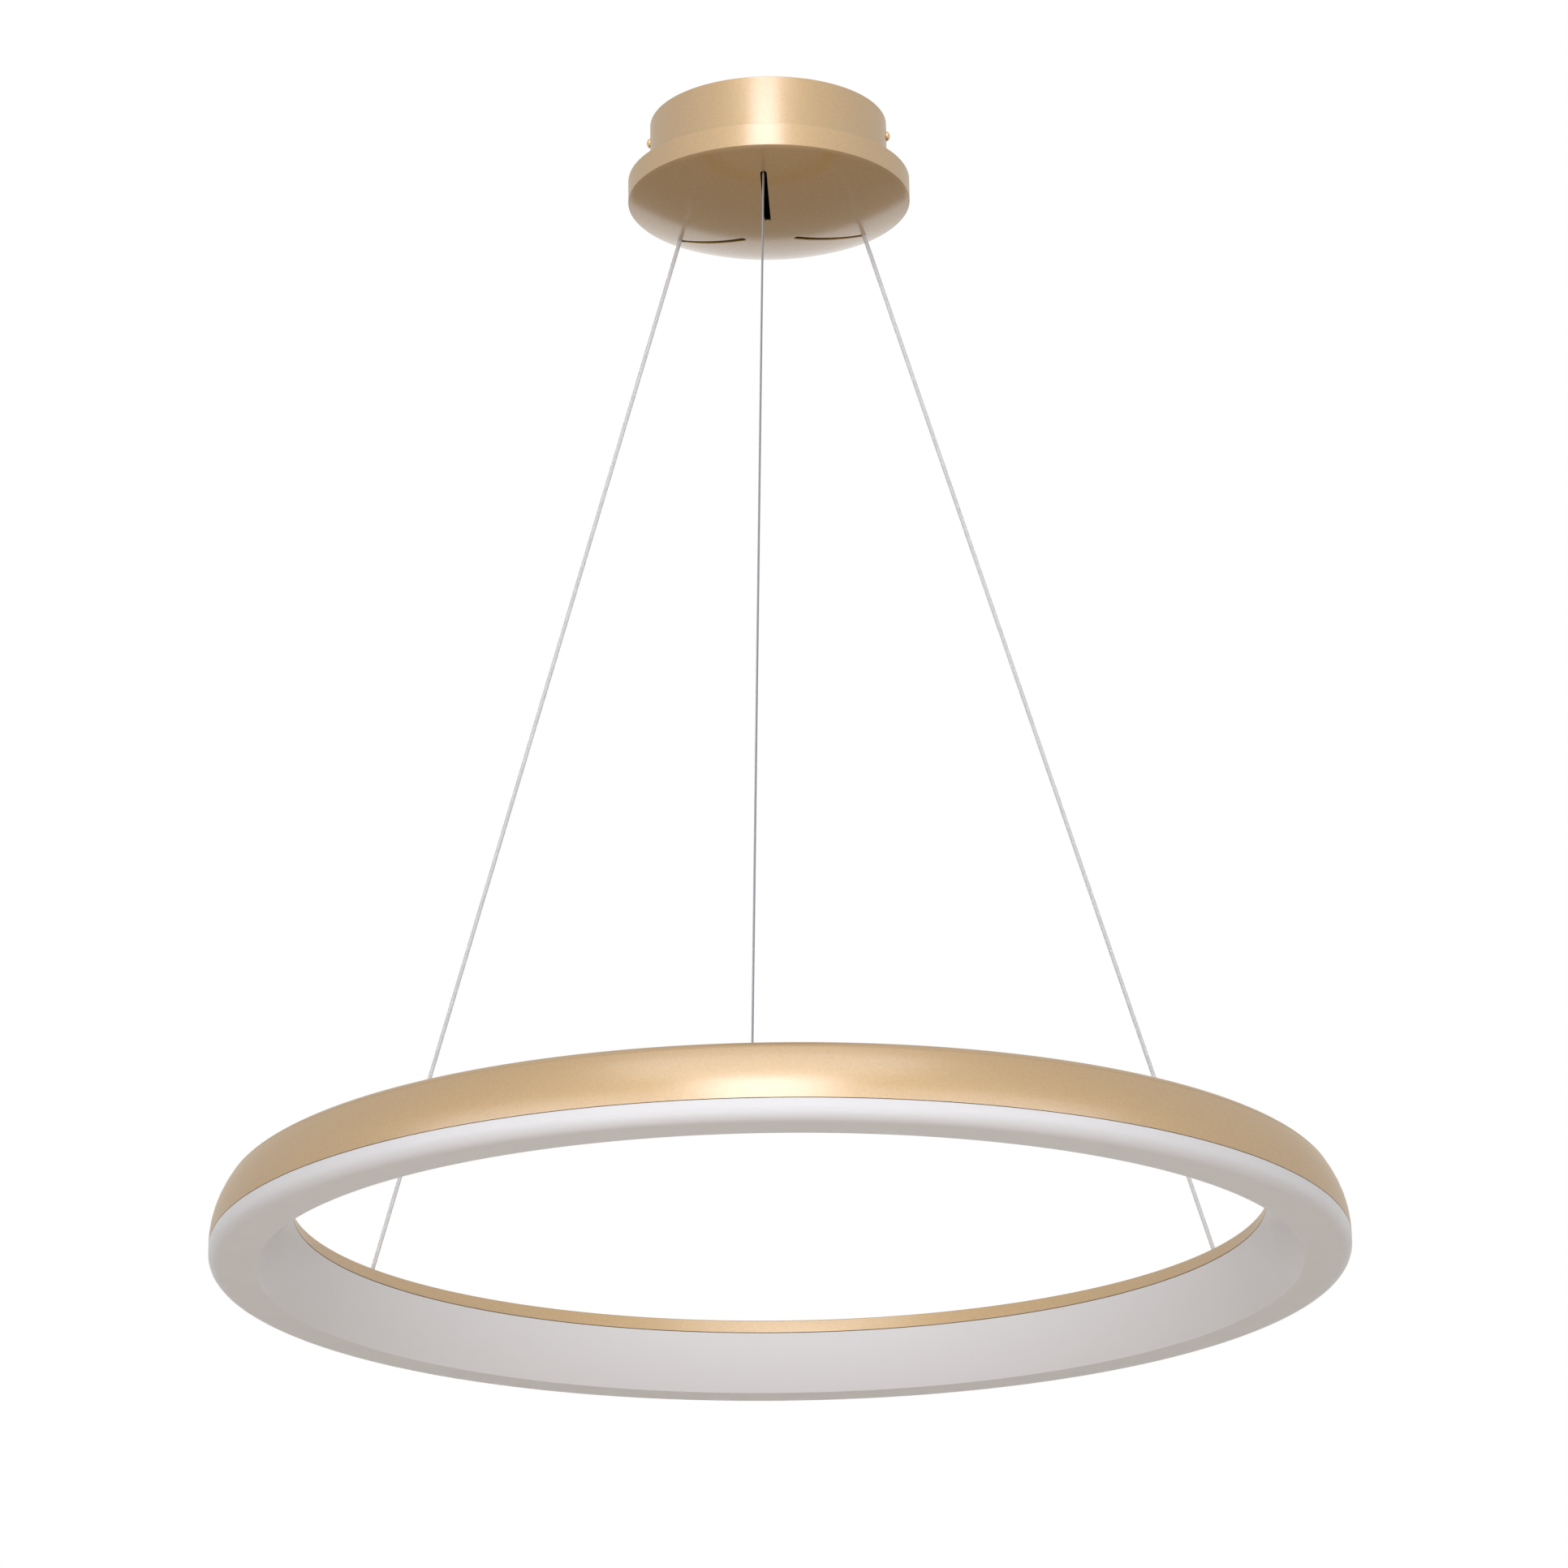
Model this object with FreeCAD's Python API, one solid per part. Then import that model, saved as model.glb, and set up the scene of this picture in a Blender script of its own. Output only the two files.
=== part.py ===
import FreeCAD, Part
import math
import os

# LED ring chandelier: a gold ring with an opal light cover, hung by three taut cables
# from a round ceiling canopy.  Millimetres, +Z up, origin at the middle of the ceiling
# bracket's top face, so everything hangs below z = 0.

# ---- driving sizes ---------------------------------------------------------------
gap = 0.3                      # clearance between pieces that must not touch
thread_gap = 0.05              # radial clearance of a thread in its hole
sliding_gap = 0.08             # radial clearance of a sleeve in its bore
edge_break = 0.6               # small bevel on turned pieces

drum_radius = 88.0             # upright wall of the canopy
drum_height = 45.0
drum_wall = 1.2
drum_flange = 11.0             # inward foot flange of the drum
rim_overhang = 16.5            # wide cover below the drum stands out this much
rim_height = 17.0
rim_bevel = 0.9                # bright edge between the rim and the dome
cover_wall = 1.5
dome_depth = 25.0
plate_sheet = 2.0              # carrier plate closing the cover

slot_inner = 21.0              # radial cable slots in the dome
slot_width = 4.8

pillar_inset = 24.8            # pillars of the dome, in from the drum's inner face
pillar_radius = 4.0
stud_end = 1.2                 # stud beyond its nut
drum_screw_inset = 5.8

bracket_sheet = 1.5            # ceiling bracket
bracket_width = 24.0
bracket_ear = 19.0             # height of its turned-down ears
bracket_bend = 2.5             # outside radius of the bends
ceiling_slot_spacing = 90.0
ceiling_slot_length = 20.0
ceiling_slot_width = 5.5

side_screw_drop = 11.0         # side screws below the ceiling
side_head_radius = 3.6
side_head_height = 2.8
side_screw_reach = 9.0

m4 = 2.0                       # thread radii
m3 = 1.5
m3_head = 2.8                  # pan heads
m3_head_height = 2.0
m4_head = 3.8
m4_head_height = 2.6
clear_m4 = 2.25                # clearance holes
clear_m3 = 1.7

conductor_radius = 1.5         # clear-jacketed current-carrying cables
rope_radius = 0.8              # bare steel rope

gripper_inset = 10.0           # cable grippers, in from the drum's inner face
gripper_radius = 5.5
gripper_length = 12.0          # below the plate
gripper_thread = 4.0           # M8 shank
gripper_shank = 9.0            # above the plate's underside
gripper_nut_flats = 13.0
gripper_nut_height = 4.0
gripper_relief = 1.0           # drum flange cut back round each gripper nut
plunger_radius = 2.9
plunger_collar = 3.6
plunger_collar_height = 1.5
plunger_travel = 2.0
plunger_length = 9.0
plunger_room = 0.8             # left over above the plunger when it is pushed up
cable_bore_gap = 0.3           # cable in a gripper or anchor bore
bend_below_plunger = 3.2       # where a cable leans out below its gripper
tail_above_gripper = 12.0

driver_length = 104.0          # LED driver on the carrier plate
driver_width = 44.0
driver_base = 15.0
driver_lid = 6.5
driver_wall = 1.8
driver_corner = 4.0
driver_tab = 9.0
driver_tab_width = 16.0
driver_tab_sheet = 2.5
driver_tab_corner = 3.0
lid_step_depth = 2.5           # lid's locating step inside the tray
lid_grooves = 7                # cooling grooves across the lid
lid_groove_depth = 0.8

block_length = 31.0            # mains terminal block
block_width = 15.0
block_height = 13.0
block_step = 4.5               # lower shoulders where the wires go in
block_shoulder = 7.8           # height of those shoulders
block_wire_height = 4.3
block_screw_sink = 1.2         # clamp screws below the block's top
block_screw_notch = 0.8
block_clear = 14.5             # between the driver and the block
block_ways = 3
block_pitch = 9.5
block_screw_radius = 1.9
block_wire_radius = 1.9

earth_aside = 18.5             # earth screw beside the block's end
earth_back = 8.0
earth_washer = 0.8
earth_washer_radius = 4.5

cover_nut_flats = 7.0
cover_nut_height = 3.2

ring_radius = 400.0            # outer radius of the ring
lamp_drop = 880.0              # ceiling to the ring's bottom
ring_width = 58.5              # section of the ring, outer face to the lip's foot
ring_height = 57.5             # bottom to the top of the outer shoulder
shoulder_width = 19.4          # outer face to where the shoulder meets the sloping top
shoulder_turn = 35.0           # lean of the wall where its long bow meets the tight shoulder
joint_height = 14.5            # gold and white meet this far above the bottom
joint_gap = 0.4                # fine dark line between gold and white
channel_wall = 1.8
lip_height = 10.0              # inner lip of the channel
lip_lean = 2.5                 # lip's top is this much further out than its foot
lip_fall = 6.8                 # inner top edge below the crown
lip_bevel = 1.0

opal_wall = 2.2                # light cover
opal_corner = 9.0
bottom_width = 33.5            # outer face to the crease with the slanted inner wall
leg_wall = 1.7                 # snap legs inside the channel
leg_height = 7.5
leg_taper = 2.0

strip_inset = 33.0             # LED strips, in from the outer face
strip_width = 10.0
strip_sheet = 1.2
strip_count = 6
strip_span = 57.0
chips_per_strip = 8
chip_length = 3.5
chip_width = 2.8
chip_height = 0.7

anchor_inset = 44.0            # cable anchors, in from the outer face
anchor_flange_radius = 5.5
anchor_flange = 1.6
anchor_bevel = 0.8
anchor_shank_radius = 3.0
anchor_shank = 9.0
anchor_nut_flats = 10.0
anchor_nut_height = 3.0
anchor_entry = 1.0             # cable end below the anchor's top face
anchor_bore_gap = 0.6
anchor_hole_gap = 0.1          # anchor shank in the ring's top
cable_end_length = 15.0
ferrule_length = 5.0
ferrule_wall = 0.9

near_cable = -90.0             # direction of each cable, seen from above
right_cable = 30.0
left_cable = 150.0
cable_directions = [near_cable, right_cable, left_cable]

# ---- places that follow from the sizes -------------------------------------------
drum_inner = drum_radius - drum_wall
rim_radius = drum_radius + rim_overhang
pillar_circle = drum_inner - pillar_inset
drum_screw_circle = drum_inner - drum_screw_inset
gripper_circle = drum_inner - gripper_inset
block_y = -(driver_width / 2 + block_clear + block_width / 2)
earth_x = -(block_length / 2 + earth_aside)
earth_y = block_y - earth_back
plate_top = -drum_height
plate_under = plate_top - plate_sheet
rim_foot = plate_top - rim_height
apex = rim_foot - dome_depth
rim_inner = rim_radius - cover_wall

dome_chord = rim_radius - rim_bevel
dome_rise = dome_depth - rim_bevel
dome_sphere = (dome_chord ** 2 + dome_rise ** 2) / (2 * dome_rise)
dome_centre = apex + dome_sphere

ear_face = math.sqrt((drum_inner - gap) ** 2 - (bracket_width / 2) ** 2)

gripper_foot = plate_under - gripper_length
plunger_tip = gripper_foot - plunger_travel - plunger_collar_height
bend_z = plunger_tip - bend_below_plunger

ring_bottom = -lamp_drop
ring_crown = ring_bottom + ring_height
shoulder_radius = ring_radius - shoulder_width
lip_radius = ring_radius - ring_width
crease_radius = ring_radius - bottom_width
strip_inner = ring_radius - strip_inset
anchor_circle = ring_radius - anchor_inset
joint_z = ring_bottom + joint_height
lip_foot = ring_crown - lip_fall - lip_height
lip_top = ring_crown - lip_fall
lip_top_radius = lip_radius + lip_lean
top_slope = math.atan2(lip_fall, shoulder_radius - lip_top_radius)


def top_surface(radius):
    """Height of the ring's sloping top at a radius."""
    return lip_top + (radius - lip_top_radius) * math.tan(top_slope)


lip_under_radius = lip_top_radius + channel_wall
lip_under = top_surface(lip_under_radius) - channel_wall / math.cos(top_slope)

anchor_seat = top_surface(anchor_circle)
anchor_lean = top_slope
cable_low_r = anchor_circle - (anchor_flange - anchor_entry) * math.sin(anchor_lean)
cable_low_z = anchor_seat + (anchor_flange - anchor_entry) * math.cos(anchor_lean)
cable_slope = (cable_low_r - gripper_circle) / (bend_z - cable_low_z)


def dome_z(radius, inset=0.0):
    """Height of the dome's outer face, or of a face inset into it."""
    return dome_centre - math.sqrt((dome_sphere - inset) ** 2 - radius ** 2)


exit_z = dome_z(gripper_circle + bend_below_plunger, cover_wall / 2)
exit_r = gripper_circle + (bend_z - exit_z) * cable_slope
slot_outer = exit_r + conductor_radius * math.sqrt(1 + cable_slope ** 2) + gap


# ---- helpers ---------------------------------------------------------------------
def vec(x, y, z):
    return FreeCAD.Vector(x, y, z)


def polar(radius, angle, z):
    turn = math.radians(angle)
    return vec(radius * math.cos(turn), radius * math.sin(turn), z)


def turned(shape, angle):
    """A copy turned about the lamp's upright axis."""
    copy = shape.copy()
    copy.rotate(vec(0, 0, 0), vec(0, 0, 1), angle)
    return copy


def moved(shape, x, y, z):
    copy = shape.copy()
    copy.translate(vec(x, y, z))
    return copy


def outline(points):
    """Closed wire through (radius, z) points; a middle tuple of three makes an arc."""
    edges = []
    for index, point in enumerate(points):
        following = points[(index + 1) % len(points)]
        start = vec(point[0], 0, point[1])
        end = vec(following[0], 0, following[1])
        if start.distanceToPoint(end) < 1e-6:
            continue
        if len(point) == 4:
            middle = vec(point[2], 0, point[3])
            edges.append(Part.Arc(start, middle, end).toShape())
        else:
            edges.append(Part.LineSegment(start, end).toShape())
    return Part.Wire(edges)


def revolved(face, angle=360.0):
    """Solid of revolution about the upright axis, with its faces looking outwards."""
    solid = face.revolve(vec(0, 0, 0), vec(0, 0, 1), angle)
    if solid.Volume < 0:
        solid.reverse()
    return solid


def spun(points):
    """Full turn of a closed (radius, z) outline."""
    return revolved(Part.Face(outline(points)))


def rod(radius, low, high):
    return Part.makeCylinder(radius, high - low, vec(0, 0, low))


def tube(outer, inner, low, high):
    return rod(outer, low, high).cut(rod(inner, low - 1, high + 1))


def hex_nut(flats, height, bore):
    """Hexagon nut standing on z = 0, with its bore."""
    corner = flats / math.sqrt(3)
    points = [polar(corner, 60 * side, 0) for side in range(7)]
    prism = Part.Face(Part.makePolygon(points)).extrude(vec(0, 0, height))
    return prism.cut(rod(bore, -1, height + 1))


def pan_screw(thread, length, head_radius, head_height):
    """Pan-head screw: shank down from z = 0, bevelled head above."""
    bevel = head_height / 2
    return spun([(0, -length), (thread, -length), (thread, 0), (head_radius, 0),
                 (head_radius, bevel), (head_radius - bevel, head_height), (0, head_height)])


def round_screw(thread, length, head_radius, head_height):
    """Round-head screw: shank down from z = 0, short upright edge and ball crown above."""
    crown = head_height * 0.7
    ball = (head_radius ** 2 + crown ** 2) / (2 * crown)
    middle = head_radius / 2
    middle_z = head_height - ball + math.sqrt(ball ** 2 - middle ** 2)
    return spun([(0, -length), (thread, -length), (thread, 0), (head_radius, 0),
                 (head_radius, head_height - crown, middle, middle_z), (0, head_height)])


def slot_prism(inner, outer, width, low, high):
    """Upright prism of a round-ended slot lying along +X between two radii."""
    half = width / 2
    first = inner + half
    last = outer - half
    edges = [
        Part.LineSegment(vec(first, -half, low), vec(last, -half, low)).toShape(),
        Part.Arc(vec(last, -half, low), vec(outer, 0, low), vec(last, half, low)).toShape(),
        Part.LineSegment(vec(last, half, low), vec(first, half, low)).toShape(),
        Part.Arc(vec(first, half, low), vec(inner, 0, low), vec(first, -half, low)).toShape(),
    ]
    return Part.Face(Part.Wire(edges)).extrude(vec(0, 0, high - low))


def rounded_block(length, width, low, high, corner):
    block = Part.makeBox(length, width, high - low, vec(-length / 2, -width / 2, low))
    upright = [e for e in block.Edges if abs(e.tangentAt(e.FirstParameter).z) > 0.99]
    return block.makeFillet(corner, upright)


def kept(shape, low, high):
    """The part of a shape between two heights."""
    reach = 2 * (ring_radius + lamp_drop)
    return shape.common(Part.makeBox(2 * reach, 2 * reach, high - low, vec(-reach, -reach, low)))


def group(solids):
    return Part.makeCompound(solids)


def at_cables(shape):
    """Copies of a piece made along +X, one at each cable."""
    return [turned(shape, angle) for angle in cable_directions]


def save(name, shape):
    shape.exportStep("parts/" + name + ".step")


# ---- canopy ----------------------------------------------------------------------
def ceiling_bracket():
    """Flat steel bar with turned-down ears and two slots for the ceiling screws."""
    length = 2 * ear_face
    bar = Part.makeBox(length, bracket_width, bracket_ear,
                       vec(-ear_face, -bracket_width / 2, -bracket_ear))
    bends = [e for e in bar.Edges if abs(e.BoundBox.ZMin) < 1e-6 and e.BoundBox.YLength > 1
             and e.BoundBox.XLength < 1e-6]
    bar = bar.makeFillet(bracket_bend, bends)
    inner = Part.makeBox(length - 2 * bracket_sheet, bracket_width + 2, bracket_ear,
                         vec(-ear_face + bracket_sheet, -bracket_width / 2 - 1,
                             -bracket_ear - bracket_sheet))
    inner_bends = [e for e in inner.Edges if abs(e.BoundBox.ZMin + bracket_sheet) < 1e-6
                   and e.BoundBox.YLength > 1 and e.BoundBox.XLength < 1e-6]
    bar = bar.cut(inner.makeFillet(bracket_bend - bracket_sheet, inner_bends))
    for side in (-1, 1):
        middle = side * ceiling_slot_spacing / 2
        cut = slot_prism(-ceiling_slot_length / 2, ceiling_slot_length / 2,
                         ceiling_slot_width, -bracket_sheet - 1, 1)
        bar = bar.cut(moved(cut, middle, 0, 0))
        tap = Part.makeCylinder(m4, 2 * bracket_sheet, vec(side * ear_face, 0, -side_screw_drop),
                                vec(-side, 0, 0))
        bar = bar.cut(tap)
    return bar


def canopy_drum():
    """Upright wall with an inward foot flange, open towards the ceiling."""
    flange_inner = drum_inner - drum_flange
    flange_top = plate_top + drum_wall
    drum = spun([(drum_radius, 0), (drum_radius, plate_top), (flange_inner, plate_top),
                 (flange_inner, flange_top), (drum_inner - drum_wall, flange_top),
                 (drum_inner, flange_top + drum_wall), (drum_inner, 0)])
    for side in (-1, 1):
        hole = Part.makeCylinder(clear_m4, 4 * drum_wall,
                                 vec(side * (drum_radius + drum_wall), 0, -side_screw_drop),
                                 vec(-side, 0, 0))
        drum = drum.cut(hole)
    for angle in cable_directions:
        hole = rod(clear_m3, plate_top - 1, flange_top + 1)
        drum = drum.cut(turned(moved(hole, drum_screw_circle, 0, 0), angle + 30))
        relief = rod(gripper_nut_flats / math.sqrt(3) + gripper_relief, plate_top - 1,
                     flange_top + drum_wall - 0.01)
        relief = moved(relief, gripper_circle, 0, 0).common(rod(drum_inner, plate_top - 2, 0))
        drum = drum.cut(turned(relief, angle))
    return drum


def carrier_plate():
    """Disc inside the cover's rim that carries the drum, the grippers and the driver."""
    plate = rod(rim_inner - gap, plate_under, plate_top)
    gripper_hole = moved(rod(gripper_thread + gap / 2, plate_under - 1, plate_top + 1),
                         gripper_circle, 0, 0)
    pillar_hole = moved(rod(clear_m4, plate_under - 1, plate_top + 1), pillar_circle, 0, 0)
    drum_hole = moved(rod(m3, plate_under - 1, plate_top + 1), drum_screw_circle, 0, 0)
    for angle in cable_directions:
        plate = plate.cut(turned(gripper_hole, angle))
        plate = plate.cut(turned(pillar_hole, angle + 60))
        plate = plate.cut(turned(drum_hole, angle + 30))
    for side in (-1, 1):
        hole = rod(m3, plate_under - 1, plate_top + 1)
        plate = plate.cut(moved(hole, side * (driver_length + driver_tab) / 2, 0, 0))
    for side in (-1, 1):
        hole = rod(m3, plate_under - 1, plate_top + 1)
        plate = plate.cut(moved(hole, side * block_pitch / 2, block_y, 0))
    earth = rod(m4, plate_under - 1, plate_top + 1)
    return plate.cut(moved(earth, earth_x, earth_y, 0))


def canopy_cover():
    """Shallow dish: upright rim, bevelled edge, domed underside with three radial slots."""
    half_chord = dome_chord * 0.5
    outer = spun([(0, plate_top), (rim_radius, plate_top), (rim_radius, rim_foot),
                  (dome_chord, rim_foot - rim_bevel, half_chord, dome_z(half_chord)),
                  (0, apex)])
    inner_z = dome_z(rim_inner, cover_wall)
    hollow = spun([(0, plate_top + 1), (rim_inner, plate_top + 1),
                   (rim_inner, inner_z, half_chord, dome_z(half_chord, cover_wall)),
                   (0, apex + cover_wall)])
    dish = outer.cut(hollow)
    pillar = moved(rod(pillar_radius, apex - 1, plate_under), pillar_circle, 0, 0)
    stud_top = plate_top + cover_nut_height + stud_end
    stud = moved(rod(m4 - thread_gap, plate_under - 1, stud_top), pillar_circle, 0, 0)
    for angle in cable_directions:
        post = turned(pillar.common(outer).fuse(stud), angle + 60)
        dish = dish.fuse(post)
    slot = slot_prism(slot_inner, slot_outer, slot_width, apex - 1, plate_under - 5)
    for angle in cable_directions:
        dish = dish.cut(turned(slot, angle))
    return dish.removeSplitter()


def cover_nuts():
    """Nuts on the cover's studs, on top of the carrier plate."""
    nut = moved(hex_nut(cover_nut_flats, cover_nut_height, m4), pillar_circle, 0, plate_top)
    return group([turned(nut, angle + 60) for angle in cable_directions])


def drum_screws():
    """Screws that hold the drum's flange to the carrier plate."""
    screw = pan_screw(m3 - thread_gap, drum_wall + plate_sheet, m3_head, m3_head_height)
    screw = moved(screw, drum_screw_circle, 0, plate_top + drum_wall)
    return group([turned(screw, angle + 30) for angle in cable_directions])


def side_screws():
    """Visible round-head screws through the drum into the bracket's ears."""
    screw = round_screw(m4 - thread_gap, side_screw_reach, side_head_radius, side_head_height)
    screw.rotate(vec(0, 0, 0), vec(0, 1, 0), 90)
    screw = moved(screw, drum_radius + thread_gap, 0, -side_screw_drop)
    return group([screw, turned(screw, 180)])


def cable_grippers():
    """Self-locking grippers: shank up through the plate, body below, bore for the cable."""
    grippers = []
    top = plate_under + gripper_shank
    well = plunger_tip + plunger_length + plunger_travel + plunger_room
    sleeve = plunger_radius + sliding_gap
    for angle in cable_directions:
        bore = cable_radius(angle) + cable_bore_gap
        body = spun([(bore, top), (gripper_thread - edge_break, top),
                     (gripper_thread, top - edge_break), (gripper_thread, plate_under),
                     (gripper_radius, plate_under), (gripper_radius, gripper_foot + edge_break),
                     (gripper_radius - edge_break, gripper_foot), (sleeve, gripper_foot),
                     (sleeve, well), (bore, well)])
        grippers.append(turned(moved(body, gripper_circle, 0, 0), angle))
    return group(grippers)


def gripper_nuts():
    nut = hex_nut(gripper_nut_flats, gripper_nut_height, gripper_thread + thread_gap)
    return group(at_cables(moved(nut, gripper_circle, 0, plate_top)))


def gripper_plunger(angle):
    """Sprung release sleeve of one gripper, pushed up to let the cable run."""
    bore = cable_radius(angle) + cable_bore_gap
    collar_top = plunger_tip + plunger_collar_height
    sleeve = spun([(bore, plunger_tip), (plunger_collar - edge_break, plunger_tip),
                   (plunger_collar, plunger_tip + edge_break), (plunger_collar, collar_top),
                   (plunger_radius, collar_top), (plunger_radius, plunger_tip + plunger_length),
                   (bore, plunger_tip + plunger_length)])
    return turned(moved(sleeve, gripper_circle, 0, 0), angle)


# ---- cables ----------------------------------------------------------------------
def cable_radius(angle):
    """The near cable is bare rope, the other two carry the current."""
    if angle == near_cable:
        return rope_radius
    return conductor_radius


def cable_tail(angle):
    """Fixed part of a cable: down through its gripper, then leaning out to the slot."""
    radius = cable_radius(angle)
    lean = math.atan(cable_slope)
    bend_length = bend_below_plunger - gap
    bend_radius = bend_length / math.tan(lean / 2)
    top = plate_under + gripper_shank + tail_above_gripper
    start = vec(gripper_circle, 0, bend_z + bend_length)
    centre_r = gripper_circle + bend_radius
    half = lean / 2
    middle = vec(centre_r - bend_radius * math.cos(half), 0,
                 start.z - bend_radius * math.sin(half))
    end = vec(centre_r - bend_radius * math.cos(lean), 0, start.z - bend_radius * math.sin(lean))
    past = (end.z - exit_z) / math.cos(lean) + 4 * radius
    finish = vec(end.x + past * math.sin(lean), 0, end.z - past * math.cos(lean))
    path = Part.Wire([Part.LineSegment(vec(gripper_circle, 0, top), start).toShape(),
                      Part.Arc(start, middle, end).toShape(),
                      Part.LineSegment(end, finish).toShape()])
    ring = Part.Circle(vec(gripper_circle, 0, top), vec(0, 0, 1), radius).toShape()
    solid = path.makePipeShell([Part.Wire([ring])], True, False)
    return turned(kept(solid, exit_z, 0), angle)


def hanging_cable(angle):
    """Free taut run from the canopy's slot to the ring, cut level at both ends."""
    radius = cable_radius(angle)
    high = vec(exit_r, 0, exit_z)
    low = vec(cable_low_r, 0, cable_low_z)
    way = low.sub(high)
    way.normalize()
    spare = 4 * radius
    solid = Part.makeCylinder(radius, high.distanceToPoint(low) + 2 * spare,
                              high.sub(way * spare), way)
    return turned(kept(solid, cable_low_z, exit_z), angle)


# ---- electrical pieces -----------------------------------------------------------
def driver_case():
    """Driver housing: open tray with a screw tab at each end."""
    top = plate_top + driver_base
    case = rounded_block(driver_length, driver_width, plate_top, top, driver_corner)
    for side in (-1, 1):
        x = side * (driver_length + driver_tab) / 2
        tab = moved(rounded_block(driver_tab * 2, driver_tab_width, plate_top,
                                  plate_top + driver_tab_sheet, driver_tab_corner), x, 0, 0)
        case = case.fuse(tab)
    room = rounded_block(driver_length - 2 * driver_wall, driver_width - 2 * driver_wall,
                         plate_top + driver_wall, top + 1, driver_corner - driver_wall)
    case = case.cut(room)
    for side in (-1, 1):
        x = side * (driver_length + driver_tab) / 2
        hole = rod(clear_m3, plate_top - 1, plate_top + driver_tab_sheet + 1)
        case = case.cut(moved(hole, x, 0, 0))
    return case.removeSplitter()


def driver_lid_cap():
    """Driver lid: cap on the tray, with a locating step and a cooling-rib pattern."""
    low = plate_top + driver_base
    cap = rounded_block(driver_length, driver_width, low, low + driver_lid, driver_corner)
    step = driver_wall + gap / 2
    plug = rounded_block(driver_length - 2 * step, driver_width - 2 * step,
                         low - lid_step_depth, low + 1, driver_corner - driver_wall)
    room = rounded_block(driver_length - 4 * step, driver_width - 4 * step,
                         low - lid_step_depth - 1, low + driver_lid - driver_wall,
                         driver_corner - driver_wall)
    cap = cap.fuse(plug).cut(room)
    pitch = driver_length / (lid_grooves + 3)
    groove_foot = low + driver_lid - lid_groove_depth
    for index in range(lid_grooves):
        x = (index - (lid_grooves - 1) / 2) * pitch
        groove = Part.makeBox(pitch * 0.4, driver_width * 0.6, 2 * lid_groove_depth,
                              vec(x - pitch * 0.2, -driver_width * 0.3, groove_foot))
        cap = cap.cut(groove)
    return cap.removeSplitter()


def driver_screws():
    screw = pan_screw(m3 - thread_gap, driver_tab_sheet + plate_sheet, m3_head,
                      m3_head_height)
    x = (driver_length + driver_tab) / 2
    z = plate_top + driver_tab_sheet
    return group([moved(screw, side * x, 0, z) for side in (-1, 1)])


def terminal_block():
    """Three-way block: stepped profile, wire holes through, screw wells on top."""
    half = block_width / 2
    crown = half - block_step
    points = [vec(0, -half, 0), vec(0, half, 0), vec(0, half, block_shoulder),
              vec(0, crown, block_shoulder), vec(0, crown, block_height),
              vec(0, -crown, block_height), vec(0, -crown, block_shoulder),
              vec(0, -half, block_shoulder), vec(0, -half, 0)]
    block = Part.Face(Part.makePolygon(points)).extrude(vec(block_length, 0, 0))
    block = moved(block, -block_length / 2, 0, 0)
    for way in range(block_ways):
        x = (way - (block_ways - 1) / 2) * block_pitch
        wire = Part.makeCylinder(block_wire_radius, block_width + 2,
                                 vec(x, -half - 1, block_wire_height), vec(0, 1, 0))
        block = block.cut(wire)
        well = rod(block_screw_radius + gap / 2, block_wire_height, block_height + 1)
        block = block.cut(moved(well, x, 0, 0))
    for side in (-1, 1):
        x = side * block_pitch / 2
        block = block.cut(moved(rod(clear_m3, -1, block_height + 1), x, 0, 0))
    return moved(block, 0, block_y, plate_top)


def terminal_screws():
    """Slotted clamp screws in the block's wells."""
    low = plate_top + block_wire_height + block_wire_radius
    high = plate_top + block_height - block_screw_sink
    half = block_screw_radius + 1
    notch = Part.makeBox(2 * half, block_screw_notch, 2 * block_screw_notch,
                         vec(-half, -block_screw_notch / 2, high - block_screw_notch))
    screw = rod(block_screw_radius, low, high).cut(notch)
    return group([moved(screw, (way - (block_ways - 1) / 2) * block_pitch, block_y, 0)
                  for way in range(block_ways)])


def block_screws():
    """Two screws that hold the block to the plate."""
    screw = pan_screw(m3 - thread_gap, block_height + plate_sheet, m3_head, m3_head_height)
    return group([moved(screw, side * block_pitch / 2, block_y, plate_top + block_height)
                  for side in (-1, 1)])


def earth_terminal():
    """Earth screw with its washer on the plate."""
    washer = tube(earth_washer_radius, m4 + thread_gap, plate_top, plate_top + earth_washer)
    screw = pan_screw(m4 - thread_gap, plate_sheet + earth_washer, m4_head, m4_head_height)
    screw = moved(screw, 0, 0, plate_top + earth_washer)
    return group([moved(washer, earth_x, earth_y, 0), moved(screw, earth_x, earth_y, 0)])


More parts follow.
